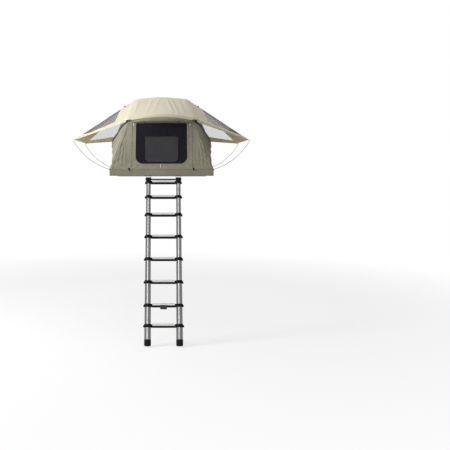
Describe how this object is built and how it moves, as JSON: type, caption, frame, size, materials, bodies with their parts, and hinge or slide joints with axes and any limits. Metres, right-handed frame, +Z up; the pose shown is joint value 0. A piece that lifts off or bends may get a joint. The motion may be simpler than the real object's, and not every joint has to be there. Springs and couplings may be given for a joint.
{
  "type": "roof top tent",
  "caption": "Fold-out fabric roof top tent on a hinged base, with hooped canopy, winged rainfly, window rods and a telescopic ladder.",
  "frame": {"origin": "centre of the four slots in the roof-bar rails, on the plane of the roof bars", "axes": "+X to the right seen from the ladder, +Y from the ladder end to the back, +Z up"},
  "size_m": [2.5356, 3.1282, 3.3604],
  "materials": {
    "frame_alloy": "satin mill finish",
    "floor_board": "laminated board",
    "rail_alloy": "satin",
    "hinge_steel": "black powder coat",
    "pin_steel": "zinc plated",
    "hoop_alloy": "satin",
    "mattress_cloth": "knitted cover",
    "canopy_cloth": "olive poly-cotton",
    "screen_mesh": "black insect mesh",
    "fly_cloth": "coated polyester",
    "rod_steel": "spring steel",
    "socket_plastic": "moulded nylon",
    "ladder_alloy": "anodised",
    "tread_alloy": "anodised, ribbed",
    "collar_plastic": "moulded nylon",
    "button_plastic": "moulded nylon",
    "foot_rubber": "moulded rubber",
    "strap_webbing": "woven webbing"
  },
  "bodies": {
    "fixed_base": {"fixed_frame": "frame_alloy", "fixed_board": "floor_board", "mounting_rails": "rail_alloy", "fixed_hinge_plates": "hinge_steel", "hinge_pins": "pin_steel", "rear_mattress": "mattress_cloth", "rear_canopy": "canopy_cloth", "rear_screen": "screen_mesh", "rolled_window": "canopy_cloth", "rear_fly": "fly_cloth", "far_rods": "rod_steel", "far_sockets": "socket_plastic"},
    "moving_base": {"moving_frame": "frame_alloy", "moving_board": "floor_board", "moving_hinge_plates": "hinge_steel", "front_mattress": "mattress_cloth", "front_canopy": "canopy_cloth", "door_screen": "screen_mesh", "rolled_door": "canopy_cloth", "front_fly": "fly_cloth", "near_rods": "rod_steel", "near_sockets": "socket_plastic", "ladder_brackets": "hinge_steel"},
    "centre_hoop": {"centre_hoop": "hoop_alloy"},
    "front_hoop": {"front_hoop": "hoop_alloy"},
    "rear_hoop": {"rear_hoop": "hoop_alloy"},
    "ladder_section_8": {"stile_tubes_8": "ladder_alloy", "ladder_collars_8": "collar_plastic", "ladder_tread_8": "tread_alloy", "pivot_bar": "hinge_steel"},
    "ladder_section_7": {"stile_tubes_7": "ladder_alloy", "ladder_collars_7": "collar_plastic", "ladder_tread_7": "tread_alloy"},
    "ladder_section_6": {"stile_tubes_6": "ladder_alloy", "ladder_collars_6": "collar_plastic", "ladder_tread_6": "tread_alloy"},
    "ladder_section_5": {"stile_tubes_5": "ladder_alloy", "ladder_collars_5": "collar_plastic", "ladder_tread_5": "tread_alloy"},
    "ladder_section_4": {"stile_tubes_4": "ladder_alloy", "ladder_collars_4": "collar_plastic", "ladder_tread_4": "tread_alloy"},
    "ladder_section_3": {"stile_tubes_3": "ladder_alloy", "ladder_collars_3": "collar_plastic", "ladder_tread_3": "tread_alloy"},
    "ladder_section_2": {"stile_tubes_2": "ladder_alloy", "ladder_collars_2": "collar_plastic", "ladder_tread_2": "tread_alloy", "rung_strap": "strap_webbing"},
    "ladder_section_1": {"stile_tubes_1": "ladder_alloy", "ladder_collars_1": "collar_plastic", "ladder_tread_1": "tread_alloy", "ladder_feet": "foot_rubber"},
    "buttons_1": {"release_buttons_1": "button_plastic"},
    "buttons_2": {"release_buttons_2": "button_plastic"},
    "buttons_3": {"release_buttons_3": "button_plastic"},
    "buttons_4": {"release_buttons_4": "button_plastic"},
    "buttons_5": {"release_buttons_5": "button_plastic"},
    "buttons_6": {"release_buttons_6": "button_plastic"},
    "buttons_7": {"release_buttons_7": "button_plastic"}
  },
  "joints": [
    {"name": "fold", "type": "hinge", "parent": "fixed_base", "child": "moving_base", "pos_m": [0, -0.611, 0.178], "axis": [-1, 0, 0], "range_deg": [0, 180], "deforming": ["front_canopy", "rear_canopy", "door_screen", "rear_screen", "rolled_door", "rolled_window", "front_fly", "rear_fly"]},
    {"name": "centre_hoop_turn", "type": "hinge", "parent": "fixed_base", "child": "centre_hoop", "pos_m": [0, -0.611, 0.178], "axis": [-1, 0, 0], "range_deg": [0, 90]},
    {"name": "rear_hoop_turn", "type": "hinge", "parent": "fixed_base", "child": "rear_hoop", "pos_m": [0, -0.551, 0.143], "axis": [-1, 0, 0], "range_deg": [0, 37]},
    {"name": "front_hoop_turn", "type": "hinge", "parent": "moving_base", "child": "front_hoop", "pos_m": [0, -0.671, 0.143], "axis": [1, 0, 0], "range_deg": [0, 37]},
    {"name": "ladder_swing", "type": "hinge", "parent": "moving_base", "child": "ladder_section_8", "pos_m": [0.026, -1.803, -0.02], "axis": [1, 0, 0], "range_deg": [-60, 100]},
    {"name": "section_7_slide", "type": "slide", "parent": "ladder_section_8", "child": "ladder_section_7", "axis": [0, 0.3057, 0.9521], "range_m": [0, 0.155]},
    {"name": "section_6_slide", "type": "slide", "parent": "ladder_section_7", "child": "ladder_section_6", "axis": [0, 0.3057, 0.9521], "range_m": [0, 0.195]},
    {"name": "section_5_slide", "type": "slide", "parent": "ladder_section_6", "child": "ladder_section_5", "axis": [0, 0.3057, 0.9521], "range_m": [0, 0.248]},
    {"name": "section_4_slide", "type": "slide", "parent": "ladder_section_5", "child": "ladder_section_4", "axis": [0, 0.3057, 0.9521], "range_m": [0, 0.248]},
    {"name": "section_3_slide", "type": "slide", "parent": "ladder_section_4", "child": "ladder_section_3", "axis": [0, 0.3057, 0.9521], "range_m": [0, 0.248]},
    {"name": "section_2_slide", "type": "slide", "parent": "ladder_section_3", "child": "ladder_section_2", "axis": [0, 0.3057, 0.9521], "range_m": [0, 0.248]},
    {"name": "section_1_slide", "type": "slide", "parent": "ladder_section_2", "child": "ladder_section_1", "axis": [0, 0.3057, 0.9521], "range_m": [0, 0.204]},
    {"name": "button_1_press", "type": "slide", "parent": "ladder_section_1", "child": "buttons_1", "axis": [0, 0.9521, -0.3057], "range_m": [0, 0.004], "stiffness_N_per_m": 500},
    {"name": "button_2_press", "type": "slide", "parent": "ladder_section_2", "child": "buttons_2", "axis": [0, 0.9521, -0.3057], "range_m": [0, 0.004], "stiffness_N_per_m": 500},
    {"name": "button_3_press", "type": "slide", "parent": "ladder_section_3", "child": "buttons_3", "axis": [0, 0.9521, -0.3057], "range_m": [0, 0.004], "stiffness_N_per_m": 500},
    {"name": "button_4_press", "type": "slide", "parent": "ladder_section_4", "child": "buttons_4", "axis": [0, 0.9521, -0.3057], "range_m": [0, 0.004], "stiffness_N_per_m": 500},
    {"name": "button_5_press", "type": "slide", "parent": "ladder_section_5", "child": "buttons_5", "axis": [0, 0.9521, -0.3057], "range_m": [0, 0.004], "stiffness_N_per_m": 500},
    {"name": "button_6_press", "type": "slide", "parent": "ladder_section_6", "child": "buttons_6", "axis": [0, 0.9521, -0.3057], "range_m": [0, 0.004], "stiffness_N_per_m": 500},
    {"name": "button_7_press", "type": "slide", "parent": "ladder_section_7", "child": "buttons_7", "axis": [0, 0.9521, -0.3057], "range_m": [0, 0.004], "stiffness_N_per_m": 500}
  ],
  "couplings": [
    {"joint": "centre_hoop_turn", "follows": "fold", "ratio": 0.5},
    {"joint": "rear_hoop_turn", "follows": "fold", "ratio": 0.20555},
    {"joint": "front_hoop_turn", "follows": "fold", "ratio": 0.20555}
  ]
}
